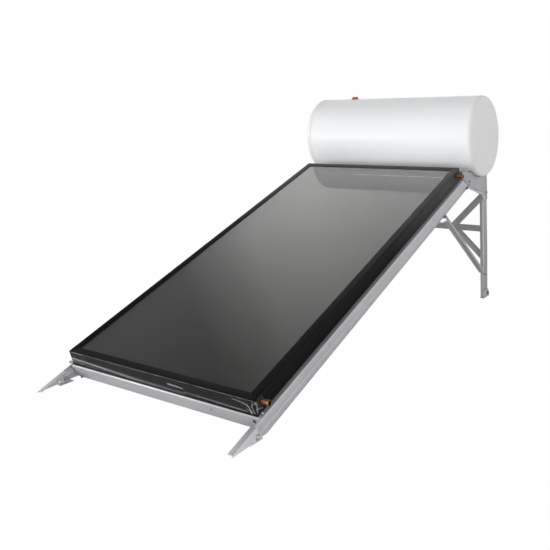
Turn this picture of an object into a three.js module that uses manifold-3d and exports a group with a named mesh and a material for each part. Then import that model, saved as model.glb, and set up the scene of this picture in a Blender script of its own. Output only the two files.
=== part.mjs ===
// Thermosiphon solar water heater: a flat-plate collector on an inclined stand,
// with a horizontal insulated storage tank above its upper end.
// Millimetres, +Z up, +X to the right along the tank, +Y from the collector's low end to its high end.
// The origin is at the middle of the base, on the ground.

import * as THREE from 'three';
import Module from 'manifold-3d';
import { mergeVertices } from 'three/addons/utils/BufferGeometryUtils.js';

const wasm = await Module();
wasm.setup();

// ---------------------------------------------------------------- driving dimensions

const GAP = 0.3; // clearance between pieces that touch
const SLOPE = THREE.MathUtils.degToRad(19.5); // tilt of the collector and the rails

const COLLECTOR = {
  width: 1000,
  length: 2000,
  height: 71,
  frontY: 156, // place of the top face's low edge
  frontZ: 138,
};

const FRAME = { wall: 2.2, lip: 34, lipThickness: 2, base: 24, shelfTop: -7.5, shelf: 38 };
const GLASS = { thickness: 3.2, edge: 4, top: -3.6 };

const HEADER = { radius: 11, wall: 1.2, stub: 42, depth: 26, lowS: 34, highS: 1943 };
const RISER = { radius: 5, wall: 0.8, count: 8, pitch: 116 };
const GROMMET = { holeRadius: 14, flangeRadius: 17.5, flange: 3 };

const TANK = {
  y: 2326,
  z: 970,
  halfLength: 550,
  capRadius: 236,
  shellRadius: 235,
  capRim: 36,
  capCorner: 20,
  sheet: 1,
  vesselRadius: 189,
  vesselHalf: 430,
  vesselDome: 68,
  vesselWall: 3,
};

const RAIL = {
  outerX: 520,
  flange: 35,
  depth: 70,
  thickness: 2.5,
  bend: 5,
  top: -COLLECTOR.height - GAP,
  start: -44,
  end: 2036,
};

const PLATE = { x: 515.6, thickness: 2.3 }; // brackets nest flat against the rails' webs
const LEG = {
  outerX: 513,
  y: 2366,
  depth: 69,
  flange: 18,
  thickness: 2.5,
  bend: 5,
  bottom: 2.8,
  top: 726,
};

const FOOT = { toe: 6, heelFront: 108, heelBack: 178, x: 522.6, thickness: 2.3 };

const GALVANISED = { color: '#b4b6ba', roughness: 0.45, metalness: 0.7 };

// ---------------------------------------------------------------- small geometry tools

// A closed three.js geometry as a solid that can be cut and joined.
function toSolid(geometry) {
  const bare = geometry.clone();
  bare.deleteAttribute('normal');
  bare.deleteAttribute('uv');
  const merged = mergeVertices(bare, 1e-4);
  const index = merged.index.array;
  const triangles = [];
  for (let i = 0; i < index.length; i += 3) {
    const [a, b, c] = [index[i], index[i + 1], index[i + 2]];
    if (a !== b && b !== c && c !== a) triangles.push(a, b, c);
  }
  return new wasm.Manifold(new wasm.Mesh({
    numProp: 3,
    vertProperties: new Float32Array(merged.attributes.position.array),
    triVerts: new Uint32Array(triangles),
  }));
}

function toGeometry(solid) {
  const mesh = solid.getMesh();
  const geometry = new THREE.BufferGeometry();
  geometry.setAttribute('position', new THREE.BufferAttribute(new Float32Array(mesh.vertProperties), 3));
  geometry.setIndex(new THREE.BufferAttribute(new Uint32Array(mesh.triVerts), 1));
  geometry.computeVertexNormals();
  return geometry;
}

const cut = (geometry, ...tools) =>
  toGeometry(tools.reduce((solid, tool) => solid.subtract(toSolid(tool)), toSolid(geometry)));
const join = (first, ...others) =>
  toGeometry(others.reduce((solid, other) => solid.add(toSolid(other)), toSolid(first)));

// Turn local x, y, z into the three given directions, with the origin moved to a place.
function placed(geometry, xAxis, yAxis, origin) {
  const x = new THREE.Vector3(...xAxis);
  const y = new THREE.Vector3(...yAxis);
  const basis = new THREE.Matrix4().makeBasis(x, y, x.clone().cross(y));
  return geometry.applyMatrix4(basis.setPosition(...origin));
}

// The same piece for the other side of the object.
function mirrored(geometry) {
  const copy = (geometry.index ? geometry.toNonIndexed() : geometry.clone()).scale(-1, 1, 1);
  const position = copy.attributes.position.array;
  for (let i = 0; i < position.length; i += 9) {
    for (let k = 0; k < 3; k += 1) {
      [position[i + 3 + k], position[i + 6 + k]] = [position[i + 6 + k], position[i + 3 + k]];
    }
  }
  copy.computeVertexNormals();
  return copy;
}

function shapeOf(points) {
  return new THREE.Shape(points.map(([x, y]) => new THREE.Vector2(x, y)));
}

function prism(outline, depth) {
  const shape = Array.isArray(outline) ? shapeOf(outline) : outline;
  return new THREE.ExtrudeGeometry(shape, { depth, bevelEnabled: false, curveSegments: 4 });
}

function box(width, depth, height, x, y, z) {
  return new THREE.BoxGeometry(width, depth, height).translate(x, y, z);
}

// A box from its lowest to its highest corner.
function boxBetween([x0, y0, z0], [x1, y1, z1]) {
  return box(x1 - x0, y1 - y0, z1 - z0, (x0 + x1) / 2, (y0 + y1) / 2, (z0 + z1) / 2);
}

// A turned piece about the X axis: profile points are [radius, x].
function turnedX(profile, segments) {
  const points = profile.map(([radius, x]) => new THREE.Vector2(radius, x));
  return new THREE.LatheGeometry(points, segments).rotateZ(-Math.PI / 2);
}

// A turned piece about the Z axis: profile points are [radius, z].
function turnedZ(profile, segments) {
  const points = profile.map(([radius, z]) => new THREE.Vector2(radius, z));
  return new THREE.LatheGeometry(points, segments).rotateX(Math.PI / 2);
}

// Points on a quarter turn of an ellipse or circle between two angles, in degrees.
function arc(centreX, centreY, radiusX, radiusY, from, to, steps) {
  const points = [];
  for (let i = 0; i <= steps; i += 1) {
    const angle = THREE.MathUtils.degToRad(from + ((to - from) * i) / steps);
    points.push([centreX + radiusX * Math.cos(angle), centreY + radiusY * Math.sin(angle)]);
  }
  return points;
}

// A tube's closed profile, for turning.
const tubeProfile = (outer, inner, from, to) =>
  [[outer, from], [outer, to], [inner, to], [inner, from], [outer, from]];

const cylinderX = (radius, from, to, y, z, segments = 20) =>
  new THREE.CylinderGeometry(radius, radius, to - from, segments)
    .rotateZ(-Math.PI / 2)
    .translate((from + to) / 2, y, z);

const cylinderZ = (radius, from, to, x, y, segments = 20) =>
  new THREE.CylinderGeometry(radius, radius, to - from, segments)
    .rotateX(Math.PI / 2)
    .translate(x, y, (from + to) / 2);

// A C-shaped channel section: the web lies along v from 0 to depth at u = 0, the flanges reach to
// u = flange. A rib presses a shallow groove into the web.
function channel({ depth, flange, thickness, bend, rib = null }, length) {
  const inner = bend - thickness;
  const webOut = !rib ? [] : [
    [0, rib.to + rib.depth],
    [rib.depth, rib.to],
    [rib.depth, rib.from],
    [0, rib.from - rib.depth],
  ];
  const webIn = webOut.map(([u, v]) => [u + thickness, v]).reverse();
  const outline = [
    [flange, 0],
    [flange, thickness],
    ...arc(bend, bend, inner, inner, 270, 180, 3),
    ...webIn,
    ...arc(bend, depth - bend, inner, inner, 180, 90, 3),
    [flange, depth - thickness],
    [flange, depth],
    ...arc(bend, depth - bend, bend, bend, 90, 180, 3),
    ...webOut,
    ...arc(bend, bend, bend, bend, 180, 270, 3),
  ];
  return prism(outline, length);
}

// A place given along the slope (s) and normal to it (n), as [y, z] on the ground frame.
function onSlope(s, n) {
  return [
    COLLECTOR.frontY + s * Math.cos(SLOPE) - n * Math.sin(SLOPE),
    COLLECTOR.frontZ + s * Math.sin(SLOPE) + n * Math.cos(SLOPE),
  ];
}

// The reverse: [s, n] of a place given as y and z on the ground frame.
function toSlope(y, z) {
  const dy = y - COLLECTOR.frontY;
  const dz = z - COLLECTOR.frontZ;
  return [dy * Math.cos(SLOPE) + dz * Math.sin(SLOPE), dz * Math.cos(SLOPE) - dy * Math.sin(SLOPE)];
}

// A plate standing in a plane of constant x: outline points are [y, z].
const sidePlate = (outline, fromX, toX) =>
  placed(prism(outline, toX - fromX), [0, 1, 0], [0, 0, 1], [fromX, 0, 0]);

function mesh(name, geometry, { color, roughness, metalness }) {
  const piece = new THREE.Mesh(geometry, new THREE.MeshStandardMaterial({ color, roughness, metalness }));
  piece.name = name;
  return piece;
}

// A right-hand piece and its mirror image.
const pair = (name, geometry, finish) => [
  mesh(`${name}_right`, geometry, finish),
  mesh(`${name}_left`, mirrored(geometry), finish),
];

// ---------------------------------------------------------------- collector
// Local frame: x to the right, y up the slope from the low edge, z = 0 on the top face.

const BLACK_FRAME = { color: '#1e1c1e', roughness: 0.35, metalness: 0.4 };
const COPPER = { color: '#a8623c', roughness: 0.35, metalness: 0.9 };
const RUBBER = { color: '#141414', roughness: 0.8, metalness: 0 };
const ALUMINIUM = { color: '#9a9ca0', roughness: 0.5, metalness: 0.7 };
const WOOL = { color: '#b79a4e', roughness: 0.95, metalness: 0 };

// One side of the collector's casing: an extruded section with mitred ends.
// u runs inwards from the outer face, v up to the top face, and the bar's length runs along -y.
function casingBar(length) {
  const { wall, lip, lipThickness, base, shelfTop, shelf } = FRAME;
  const height = COLLECTOR.height;
  const groove = { top: -15, depth: 0.9, width: 3 };
  const section = [
    [0, -height],
    [base, -height],
    [base, -height + lipThickness],
    [wall, -height + lipThickness],
    [wall, shelfTop - lipThickness],
    [shelf, shelfTop - lipThickness],
    [shelf, shelfTop],
    [wall, shelfTop],
    [wall, -lipThickness],
    [lip, -lipThickness],
    [lip, -0.6],
    [lip - 0.6, 0],
    [1, 0],
    [0, -1],
    [0, groove.top],
    [groove.depth, groove.top - groove.depth],
    [groove.depth, groove.top - groove.width],
    [0, groove.top - groove.width - groove.depth],
  ];
  const bar = prism(section, length);
  const position = bar.attributes.position;
  for (let i = 0; i < position.count; i += 1) {
    const inset = position.getX(i) + GAP / 2;
    position.setZ(i, position.getZ(i) < length / 2 ? inset : length - inset);
  }
  return placed(bar, [1, 0, 0], [0, 0, 1], [0, 0, 0]);
}

function casing() {
  const half = COLLECTOR.width / 2;
  const { width, length } = COLLECTOR;
  const headerHoles = [HEADER.lowS, HEADER.highS].map((s) =>
    cylinderX(GROMMET.holeRadius, half - 8, half + 8, s, -HEADER.depth, 24));
  const left = casingBar(length).translate(-half, length, 0);
  const right = casingBar(length).rotateZ(Math.PI).translate(half, 0, 0);
  const front = casingBar(width).rotateZ(Math.PI / 2).translate(-half, 0, 0);
  const back = casingBar(width).rotateZ(-Math.PI / 2).translate(half, length, 0);
  return [
    mesh('casing_left', left, BLACK_FRAME),
    mesh('casing_right', cut(right, ...headerHoles), BLACK_FRAME),
    mesh('casing_front', front, BLACK_FRAME),
    mesh('casing_back', back, BLACK_FRAME),
  ];
}

function glazing() {
  const { width, length } = COLLECTOR;
  const { edge, thickness, top } = GLASS;
  const pane = box(width - 2 * edge, length - 2 * edge, thickness, 0, length / 2, top - thickness / 2);

  const outerX = width / 2 - FRAME.wall - 1;
  const innerX = width / 2 - FRAME.lip - 2;
  const outerY = length / 2 - FRAME.wall - 1;
  const innerY = length / 2 - FRAME.lip - 2;
  const rim = shapeOf([[-outerX, -outerY], [outerX, -outerY], [outerX, outerY], [-outerX, outerY]]);
  rim.holes.push(shapeOf([[-innerX, -innerY], [innerX, -innerY], [innerX, innerY], [-innerX, innerY]]));
  const seal = -FRAME.lipThickness - top - 2 * GAP;
  const gasket = prism(rim, seal).translate(0, length / 2, top + GAP);
  return [
    mesh('glass_cover', pane, { color: '#6f7472', roughness: 0.05, metalness: 0 }),
    mesh('glass_gasket', gasket, RUBBER),
  ];
}

function absorber() {
  const between = HEADER.radius + 4;
  const from = HEADER.lowS + between;
  const to = HEADER.highS - between;
  const sheet = 0.8;
  const top = -HEADER.depth + RISER.radius + GAP + sheet;
  const plate = boxBetween([-478, from, top - sheet], [478, to, top]);
  const pieces = [mesh('absorber_plate', plate, { color: '#15181d', roughness: 0.4, metalness: 0.5 })];

  const pipe = tubeProfile(RISER.radius, RISER.radius - RISER.wall, 0, 1);
  const start = HEADER.lowS + HEADER.radius + GAP;
  const stop = HEADER.highS - HEADER.radius - GAP;
  for (let i = 0; i < RISER.count; i += 1) {
    const x = (i - (RISER.count - 1) / 2) * RISER.pitch;
    const points = pipe.map(([radius, t]) => new THREE.Vector2(radius, start + t * (stop - start)));
    const riser = new THREE.LatheGeometry(points, 8).translate(x, 0, -HEADER.depth);
    pieces.push(mesh(`riser_tube_${i + 1}`, riser, COPPER));
  }

  // The headers are open on the right and closed inside the casing on the left.
  const reach = COLLECTOR.width / 2 + HEADER.stub;
  const closed = -COLLECTOR.width / 2 + 12;
  const bore = HEADER.radius - HEADER.wall;
  const headerTube = [
    [0, closed],
    [0, closed + HEADER.wall],
    [bore, closed + HEADER.wall],
    [bore, reach],
    [HEADER.radius, reach],
    [HEADER.radius, closed],
    [0, closed],
  ].reverse();
  for (const [name, s] of [['header_low', HEADER.lowS], ['header_high', HEADER.highS]]) {
    pieces.push(mesh(name, turnedX(headerTube, 16).translate(0, s, -HEADER.depth), COPPER));
  }
  return pieces;
}

function grommets() {
  const side = COLLECTOR.width / 2;
  const bore = HEADER.radius + GAP;
  const sleeve = GROMMET.holeRadius - GAP;
  const profile = [
    [bore, side - 7],
    [sleeve, side - 7],
    [sleeve, side + GAP],
    [GROMMET.flangeRadius, side + GAP],
    [GROMMET.flangeRadius, side + 2],
    [bore + 2, side + GROMMET.flange],
    [bore, side + GROMMET.flange],
    [bore, side - 7],
  ];
  return [['low', HEADER.lowS], ['high', HEADER.highS]].flatMap(([end, s]) =>
    mesh(`header_grommet_${end}`, turnedX(profile, 16).translate(0, s, -HEADER.depth), RUBBER));
}

function backing() {
  const { width, length, height } = COLLECTOR;
  const inset = FRAME.wall + 0.8;
  const sheet = { bottom: -height + FRAME.lipThickness + GAP, thickness: 0.8 };
  sheet.top = sheet.bottom + sheet.thickness;
  const wool = { bottom: sheet.top + GAP, top: -HEADER.depth - GROMMET.holeRadius - 1 };
  const layer = (bottom, top) =>
    boxBetween([-width / 2 + inset, inset, bottom], [width / 2 - inset, length - inset, top]);
  return [
    mesh('back_sheet', layer(sheet.bottom, sheet.top), ALUMINIUM),
    mesh('insulation_board', layer(wool.bottom, wool.top), WOOL),
  ];
}

// ---------------------------------------------------------------- storage tank
// Local frame: the origin is on the tank's axis, half way along it.

const WHITE = { color: '#eceded', roughness: 0.35, metalness: 0.1 };
const CAP_GREY = { color: '#dcdcde', roughness: 0.5, metalness: 0 };
const BRASS = { color: '#b08d4a', roughness: 0.35, metalness: 0.9 };
const VALVE = { x: -318, bore: 7, seatZ: TANK.vesselRadius + 4 };
const PORTS = [-400, -190, 190, 400];
const PORT = { outer: 13.4, bore: 9, reach: 260, nutRadius: 20, nutHeight: 8 };
const OPENING_RADIUS = 60; // hand hole in the vessel's left end

function tankJacket() {
  const { halfLength, capRadius, shellRadius, capRim, capCorner, sheet } = TANK;
  const shellHalf = halfLength - capCorner - 1;
  const shell = turnedX(tubeProfile(shellRadius, shellRadius - sheet, -shellHalf, shellHalf), 48);
  const holes = PORTS.map((x) =>
    cylinderZ(PORT.outer + 1, -shellRadius - 20, -TANK.vesselRadius, x, 0, 16));
  holes.push(cylinderZ(16, TANK.vesselRadius, shellRadius + 20, VALVE.x, 0, 20));

  const face = 2;
  const capProfile = [
    [0, halfLength],
    ...arc(capRadius - capCorner, halfLength - capCorner, capCorner, capCorner, 90, 0, 3),
    [capRadius, halfLength - capRim],
    [shellRadius + 0.4, halfLength - capRim],
    [shellRadius + 0.4, halfLength - capCorner],
    [capRadius - capCorner, halfLength - face],
    [0, halfLength - face],
  ];
  const cap = turnedX(capProfile.reverse(), 48);
  return [
    mesh('tank_shell', cut(shell, ...holes), WHITE),
    ...pair('tank_end_cap', cap, CAP_GREY),
  ];
}

function tankCore() {
  const { vesselRadius, vesselHalf, vesselDome, vesselWall } = TANK;
  const { halfLength, capCorner, shellRadius, sheet } = TANK;
  const foamHalf = halfLength - capCorner - 1;
  const foamRadius = shellRadius - sheet - 1;
  const domeOut = (grow, from, to) =>
    arc(0, vesselHalf, vesselRadius + grow, vesselDome + grow, from, to, 4);
  const openAngle = THREE.MathUtils.radToDeg(Math.acos(OPENING_RADIUS / vesselRadius));

  const vesselProfile = [
    ...domeOut(0, 90, 0),
    ...domeOut(0, 0, openAngle).map(([radius, x]) => [radius, -x]),
    ...domeOut(-vesselWall, openAngle - 2, 0).map(([radius, x]) => [radius, -x]),
    ...domeOut(-vesselWall, 0, 90),
  ];
  const foamProfile = [
    [0, foamHalf],
    [foamRadius, foamHalf],
    [foamRadius, -foamHalf],
    [96, -foamHalf],
    [96, -vesselHalf - vesselDome + 2],
    ...domeOut(3, 59, 0).map(([radius, x]) => [radius, -x]),
    ...domeOut(3, 0, 90),
  ];
  const upright = (radius, from, to, x, segments) => cylinderZ(radius, from, to, x, 0, segments);
  const ports = PORTS.map((x) =>
    upright(PORT.outer + GAP, -shellRadius - 20, -vesselRadius + 8, x, 16));
  const bores = PORTS.map((x) => upright(PORT.bore, -vesselRadius - 20, -vesselRadius + 20, x, 12));
  const valveHole = upright(15.4, vesselRadius - 8, shellRadius + 20, VALVE.x, 16);
  const valveBore = upright(VALVE.bore, vesselRadius - 20, vesselRadius + 20, VALVE.x, 12);
  return [
    mesh('inner_vessel', cut(turnedX(vesselProfile.reverse(), 28), ...bores, valveBore),
      { color: '#3f4c63', roughness: 0.3, metalness: 0.2 }),
    mesh('tank_foam', cut(turnedX(foamProfile.reverse(), 28), ...ports, valveHole),
      { color: '#d9c27a', roughness: 0.9, metalness: 0 }),
  ];
}

// The hand hole's cover, its seal and the magnesium rod that hangs from it into the water.
function handHole() {
  const face = -TANK.vesselHalf - TANK.vesselDome;
  const rod = 10;
  const gasket = turnedX(tubeProfile(88, OPENING_RADIUS + 2, face - 3, face - GAP), 32);
  const cover = turnedX(tubeProfile(88, rod + GAP, face - 10, face - 3 - GAP), 32);
  const anode = turnedX([
    [0, face - 20],
    [15, face - 20],
    [15, face - 10 - GAP],
    [rod, face - 10 - GAP],
    [rod, face + 380],
    [0, face + 380],
  ], 16);
  return [
    mesh('hand_hole_gasket', gasket, RUBBER),
    mesh('hand_hole_cover', cover, { color: '#8d9096', roughness: 0.5, metalness: 0.8 }),
    mesh('anode_rod', anode, { color: '#c9cbcf', roughness: 0.6, metalness: 0.6 }),
  ];
}

// Water ports: the two inner ones carry the house's water, the two outer ones the collector's.
function waterPorts() {
  const names = ['port_collector_return', 'port_hot_out', 'port_cold_in', 'port_collector_flow'];
  const top = -Math.sqrt(TANK.vesselRadius ** 2 - PORT.outer ** 2) - 1;
  const nut = -TANK.shellRadius - 3;
  const profile = [
    [PORT.bore, top],
    [PORT.outer, top],
    [PORT.outer, nut],
    [PORT.nutRadius, nut],
    [PORT.nutRadius, nut - PORT.nutHeight],
    [PORT.outer, nut - PORT.nutHeight],
    [PORT.outer, -PORT.reach],
    [PORT.bore, -PORT.reach],
    [PORT.bore, top],
  ].reverse();
  return PORTS.map((x, i) => mesh(names[i], turnedZ(profile, 16).translate(x, 0, 0), BRASS));
}

// The relief valve stands on the tank's crown. A spring holds the stem's disc down on the seat, and
// the red knob's cam lifts the stem as it is turned.
const KNOB = { radius: 19, lobes: 12, lobe: 1.2, bottom: 236.6, height: 11 };

function reliefValve() {
  const base = TANK.vesselRadius + 1;
  const collar = TANK.shellRadius + 0.8;
  const body = turnedZ([
    [VALVE.bore, base],
    [15, base],
    [15, collar],
    [8.5, collar],
    [8.5, collar - 8],
    [12, collar - 8],
    [12, VALVE.seatZ],
    [VALVE.bore, VALVE.seatZ],
    [VALVE.bore, base],
  ], 20);

  const disc = VALVE.seatZ + GAP;
  const stem = turnedZ([
    [0, disc],
    [10.5, disc],
    [10.5, disc + 4],
    [3, disc + 4],
    [3, KNOB.bottom + 7],
    [0, KNOB.bottom + 7],
  ], 16);

  const turns = 4;
  const wire = 0.9;
  const coil = { radius: 9.5, from: disc + 4 + wire + GAP, to: collar - 8 - wire - GAP };
  const steps = turns * 8;
  const helix = Array.from({ length: steps + 1 }, (_, i) => {
    const angle = (i / 8) * 2 * Math.PI;
    const height = coil.from + ((coil.to - coil.from) * i) / steps;
    return new THREE.Vector3(coil.radius * Math.cos(angle), coil.radius * Math.sin(angle), height);
  });
  const wireSection = shapeOf(arc(0, 0, wire, wire, 0, 288, 4));
  const spring = new THREE.ExtrudeGeometry(wireSection, {
    steps,
    bevelEnabled: false,
    extrudePath: new THREE.CatmullRomCurve3(helix),
  });

  const rimPoints = [];
  for (let i = 0; i < KNOB.lobes * 4; i += 1) {
    const angle = (i / (KNOB.lobes * 4)) * 2 * Math.PI;
    const radius = KNOB.radius + KNOB.lobe * Math.cos(KNOB.lobes * angle);
    rimPoints.push([radius * Math.cos(angle), radius * Math.sin(angle)]);
  }
  const skirt = prism(rimPoints, KNOB.height).translate(0, 0, KNOB.bottom);
  const grip = box(26, 7, 5, 0, 0, KNOB.bottom + KNOB.height + 1.5);
  const socket = cylinderZ(3 + GAP, KNOB.bottom - 1, KNOB.bottom + 7 + GAP, 0, 0, 16);
  const knob = cut(join(skirt, grip), socket);

  const steel = { color: '#c4c6c9', roughness: 0.3, metalness: 0.9 };
  const pieces = [
    mesh('relief_valve_body', body, BRASS),
    mesh('relief_valve_stem', stem, steel),
    mesh('relief_valve_spring', spring, steel),
    mesh('relief_valve_knob', knob, { color: '#c22a26', roughness: 0.45, metalness: 0 }),
  ];
  pieces.forEach((piece) => piece.position.set(VALVE.x, 0, 0));
  return pieces;
}

// ---------------------------------------------------------------- stand

const CROSS = { half: 509, s: -5, depth: 55, flange: 29, thickness: 2.5, bend: 6 };

// Side rails under the collector, in the collector's frame. The front end is cut clear of the
// ground, and the flanges are cut back where the cross member and the brackets pass.
function rails() {
  const { outerX, depth, top, start, end } = RAIL;
  const rib = { from: 30, to: 38, depth: 1.6 };
  const straight = channel({ ...RAIL, rib }, end - start);
  const bar = placed(straight, [-1, 0, 0], [0, 0, 1], [outerX, start, top - depth]);

  const ground = 8;
  const belowNose = prism([
    toSlope(0, ground),
    toSlope(0, -100),
    toSlope(400, -100),
    toSlope(400, ground),
  ], 60);
  const nose = placed(belowNose, [0, 1, 0], [0, 0, 1], [outerX - 45, 0, 0]);
  const web = outerX - RAIL.thickness - 0.2;
  const bottom = top - depth;
  const memberEnd = CROSS.half + 2;
  const topFront = boxBetween([web - 40, start - 5, top - 8], [web, CROSS.s - 2, top + 5]);
  const topMiddle = boxBetween([web - 40, start - 5, top - 8], [memberEnd, 28, top + 5]);
  const lowFlange = boxBetween([web - 40, start - 5, bottom - 5], [web, 80, bottom + 8]);
  const tail = placed(prism([
    [end - 51, top + 1],
    [end + 5, top + 1],
    [end + 5, bottom - 1],
    [end - 22, bottom - 1],
    [end, bottom + 17],
  ], 60), [0, 1, 0], [0, 0, 1], [outerX - 45, 0, 0]);
  return pair('rail', cut(bar, nose, topFront, topMiddle, lowFlange, tail), GALVANISED);
}

function frontCrossMember() {
  const { half, s, ...section } = CROSS;
  const bar = channel(section, 2 * half);
  return mesh('front_cross_member',
    placed(bar, [0, 1, 0], [0, 0, 1], [-half, s, RAIL.top - section.depth]), GALVANISED);
}

// A cross member under the tank's front side, between the two tank brackets.
function upperCrossMember() {
  const section = { depth: 42, flange: 27, thickness: 2.5, bend: 5 };
  const half = PLATE.x - PLATE.thickness - GAP;
  const bar = channel(section, 2 * half);
  return mesh('upper_cross_member',
    placed(bar, [0, 1, 0], [0, 0, 1], [-half, 2140, 744]), GALVANISED);
}

function rearLegs() {
  const rib = { from: 40, to: 46, depth: 2.5 };
  const bar = channel({ ...LEG, rib }, LEG.top - LEG.bottom);
  return pair('rear_leg', placed(bar, [-1, 0, 0], [0, 1, 0], [LEG.outerX, LEG.y, LEG.top]), GALVANISED);
}

const plateInner = PLATE.x - PLATE.thickness;

// A strip of constant width along a path of [y, z] points, on the path's left-hand side.
function strip(path, width) {
  const shifted = path.map(([y, z], i) => {
    const [y0, z0] = path[Math.max(i - 1, 0)];
    const [y1, z1] = path[Math.min(i + 1, path.length - 1)];
    const length = Math.hypot(y1 - y0, z1 - z0);
    return [y - ((z1 - z0) / length) * width, z + ((y1 - y0) / length) * width];
  });
  return [...path, ...shifted.reverse()];
}

const SEAT_RADIUS = TANK.capRadius + 2.4;

// Tank brackets: each starts inside a rail, carries the tank in a curved seat and drops down the leg.
function tankBrackets() {
  const seatRadius = SEAT_RADIUS;
  const thickness = 2.5;
  const seat = (radius, steps) => arc(TANK.y, TANK.z, radius, radius, 237, 296, steps);
  const rearY = LEG.y + LEG.depth + 3;
  const footZ = 584;
  const legFront = LEG.y - 6;
  const corner = arc(legFront - 48, footZ, 48, 44, 76, 0, 5);
  const underside = [[2122, 685], ...corner];
  const outline = [
    onSlope(1880, -78),
    onSlope(1986, -78),
    onSlope(1993, -76.6),
    onSlope(1996, -60),
    [2050, 782],
    [2150, 771],
    ...seat(seatRadius + thickness, 16),
    [rearY, footZ],
    ...underside.toReversed(),
    onSlope(2000, -136),
    onSlope(1880, -136),
  ];
  const plate = sidePlate(outline, plateInner, PLATE.x);
  const cradle = [...seat(seatRadius, 16), ...seat(seatRadius + thickness, 16).reverse()];
  const saddle = sidePlate(cradle, 482, PLATE.x);
  const lip = sidePlate(strip(underside, 18), plateInner, PLATE.x + 3);
  return pair('tank_bracket', join(plate, saddle, lip), GALVANISED);
}

// Rubber strips between the tank and the brackets' curved seats.
function seatPads() {
  const pad = (radius) => arc(TANK.y, TANK.z, radius, radius, 238, 295, 16);
  const outline = [...pad(TANK.shellRadius + GAP), ...pad(SEAT_RADIUS - GAP).reverse()];
  return pair('seat_pad', sidePlate(outline, 484, 512), RUBBER);
}

// Front feet: a pointed plate on the rail's outer face, with a folded upper edge. Its lower edge
// stands on a tread at the back.
function frontFeet() {
  const ridge = -76.5; // the upper edge runs parallel to the slope, under the rail's top flange
  const back = RAIL.start + 6;
  const { toe, heelFront, heelBack, x, thickness } = FOOT;
  const treadWidth = 22;
  const upright = [
    [toe, 0],
    onSlope(-181, ridge),
    onSlope(back, ridge),
    onSlope(back, ridge - 34),
    [heelBack - 1, 15],
    [heelBack - 1, 1],
    [heelFront + 1, 1],
    [heelFront + 1, 3],
  ];
  const plate = sidePlate(upright, x - thickness, x);
  const edge = strip([onSlope(RAIL.start - 1, ridge + 1), onSlope(-180, ridge + 1)], thickness);
  const fold = sidePlate(edge, x - 24, x - 1);
  const sole = boxBetween([x - treadWidth, heelFront, 0], [x, heelBack, thickness]);
  const anchor = cylinderX(3.5, x - 8, x + 5, 117, 12, 12);
  return pair('front_foot', cut(join(plate, fold, sole), anchor), GALVANISED);
}

function rearFeet() {
  const front = LEG.y - 6;
  const back = LEG.y + LEG.depth + 22;
  const tread = { width: 22, thickness: 2.5 };
  const upright = [
    [front + 1, 1],
    [back - 1, 1],
    [back - 1, 14],
    [LEG.y + LEG.depth + 3, 46],
    [front + 1, 46],
  ];
  const plate = sidePlate(upright, plateInner, PLATE.x - 0.2);
  const sole = boxBetween([PLATE.x - tread.width, front, 0], [PLATE.x, back, tread.thickness]);
  const anchor = cylinderZ(5, -5, 8, PLATE.x - 12, back - 10, 12);
  return pair('rear_foot', cut(join(plate, sole), anchor), GALVANISED);
}

// Side braces: an angle that hangs from the rail's lower flange and runs down to the leg's outer face.
function sideBraces() {
  const from = [1806, 568];
  const to = [2388, 141];
  const half = 12.5;
  const thickness = 2.3;
  const angle = Math.atan2(to[1] - from[1], to[0] - from[0]);
  const length = Math.hypot(to[0] - from[0], to[1] - from[1]);
  const along = (points) => points.map(([p, q]) => [
    from[0] + p * Math.cos(angle) - q * Math.sin(angle),
    from[1] + p * Math.sin(angle) + q * Math.cos(angle),
  ]);

  const top = RAIL.top - RAIL.depth - GAP;
  const [tabS] = toSlope(...from);
  const web = [
    onSlope(tabS + 1, top - 1),
    ...along([[36, 1 - half], [length, 1 - half]]),
    ...along(arc(length, 0, half, half, -80, 90, 6)),
    ...along([[16, half]]),
    onSlope(tabS + 22, top - 1),
  ];
  const plate = sidePlate(web, plateInner, PLATE.x);
  const edge = along([
    [40, -half],
    [length - 44, -half],
    [length - 44, thickness - half],
    [40, thickness - half],
  ]);
  const fold = sidePlate(edge, PLATE.x - 20, PLATE.x - 0.5);
  const tab = [
    onSlope(tabS - 10, top),
    onSlope(tabS + 26, top),
    onSlope(tabS + 26, top - thickness),
    onSlope(tabS - 10, top - thickness),
  ];
  return pair('side_brace', join(plate, fold, sidePlate(tab, PLATE.x - 30, PLATE.x + 0.5)), GALVANISED);
}

const BACK = { barZ: 415, barDepth: 36, front: LEG.y + LEG.thickness + GAP, strap: 3, width: 38 };

function rearTieBar() {
  const section = { depth: BACK.barDepth, flange: 18, thickness: 2.5, bend: 4 };
  const half = LEG.outerX - LEG.thickness - GAP;
  const y = BACK.front + BACK.strap + GAP;
  const bottom = BACK.barZ - BACK.barDepth / 2;
  const bar = placed(channel(section, 2 * half), [0, 1, 0], [0, 0, 1], [-half, y, bottom]);
  return mesh('rear_tie_bar', bar, GALVANISED);
}

// Knee braces between the tie bar and the legs: the upper ones lie in front of the bar, the lower
// ones behind it.
function kneeBraces() {
  const inner = LEG.outerX - LEG.thickness - 2;
  const layouts = [
    ['upper', [322, BACK.barZ + 2], [inner, 612], BACK.front],
    ['lower', [338, BACK.barZ - 14], [inner, 236], BACK.front + BACK.strap + 18 + 2 * GAP],
  ];
  return layouts.flatMap(([level, [x0, z0], [x1, z1], y]) => {
    const length = Math.hypot(x1 - x0, z1 - z0);
    const [dx, dz] = [(x1 - x0) / length, (z1 - z0) / length];
    const edges = [-BACK.width / 2, BACK.width / 2].map((offset) => {
      const start = [x0 - dz * offset, z0 + dx * offset];
      return [start, [x1, start[1] + ((x1 - start[0]) * dz) / dx]];
    });
    const outline = [edges[0][0], edges[0][1], edges[1][1], edges[1][0]];
    const strap = placed(prism(outline, BACK.strap), [1, 0, 0], [0, 0, 1], [0, y + BACK.strap, 0]);
    return pair(`knee_brace_${level}`, strap, GALVANISED);
  });
}

// ---------------------------------------------------------------- assembly

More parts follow.
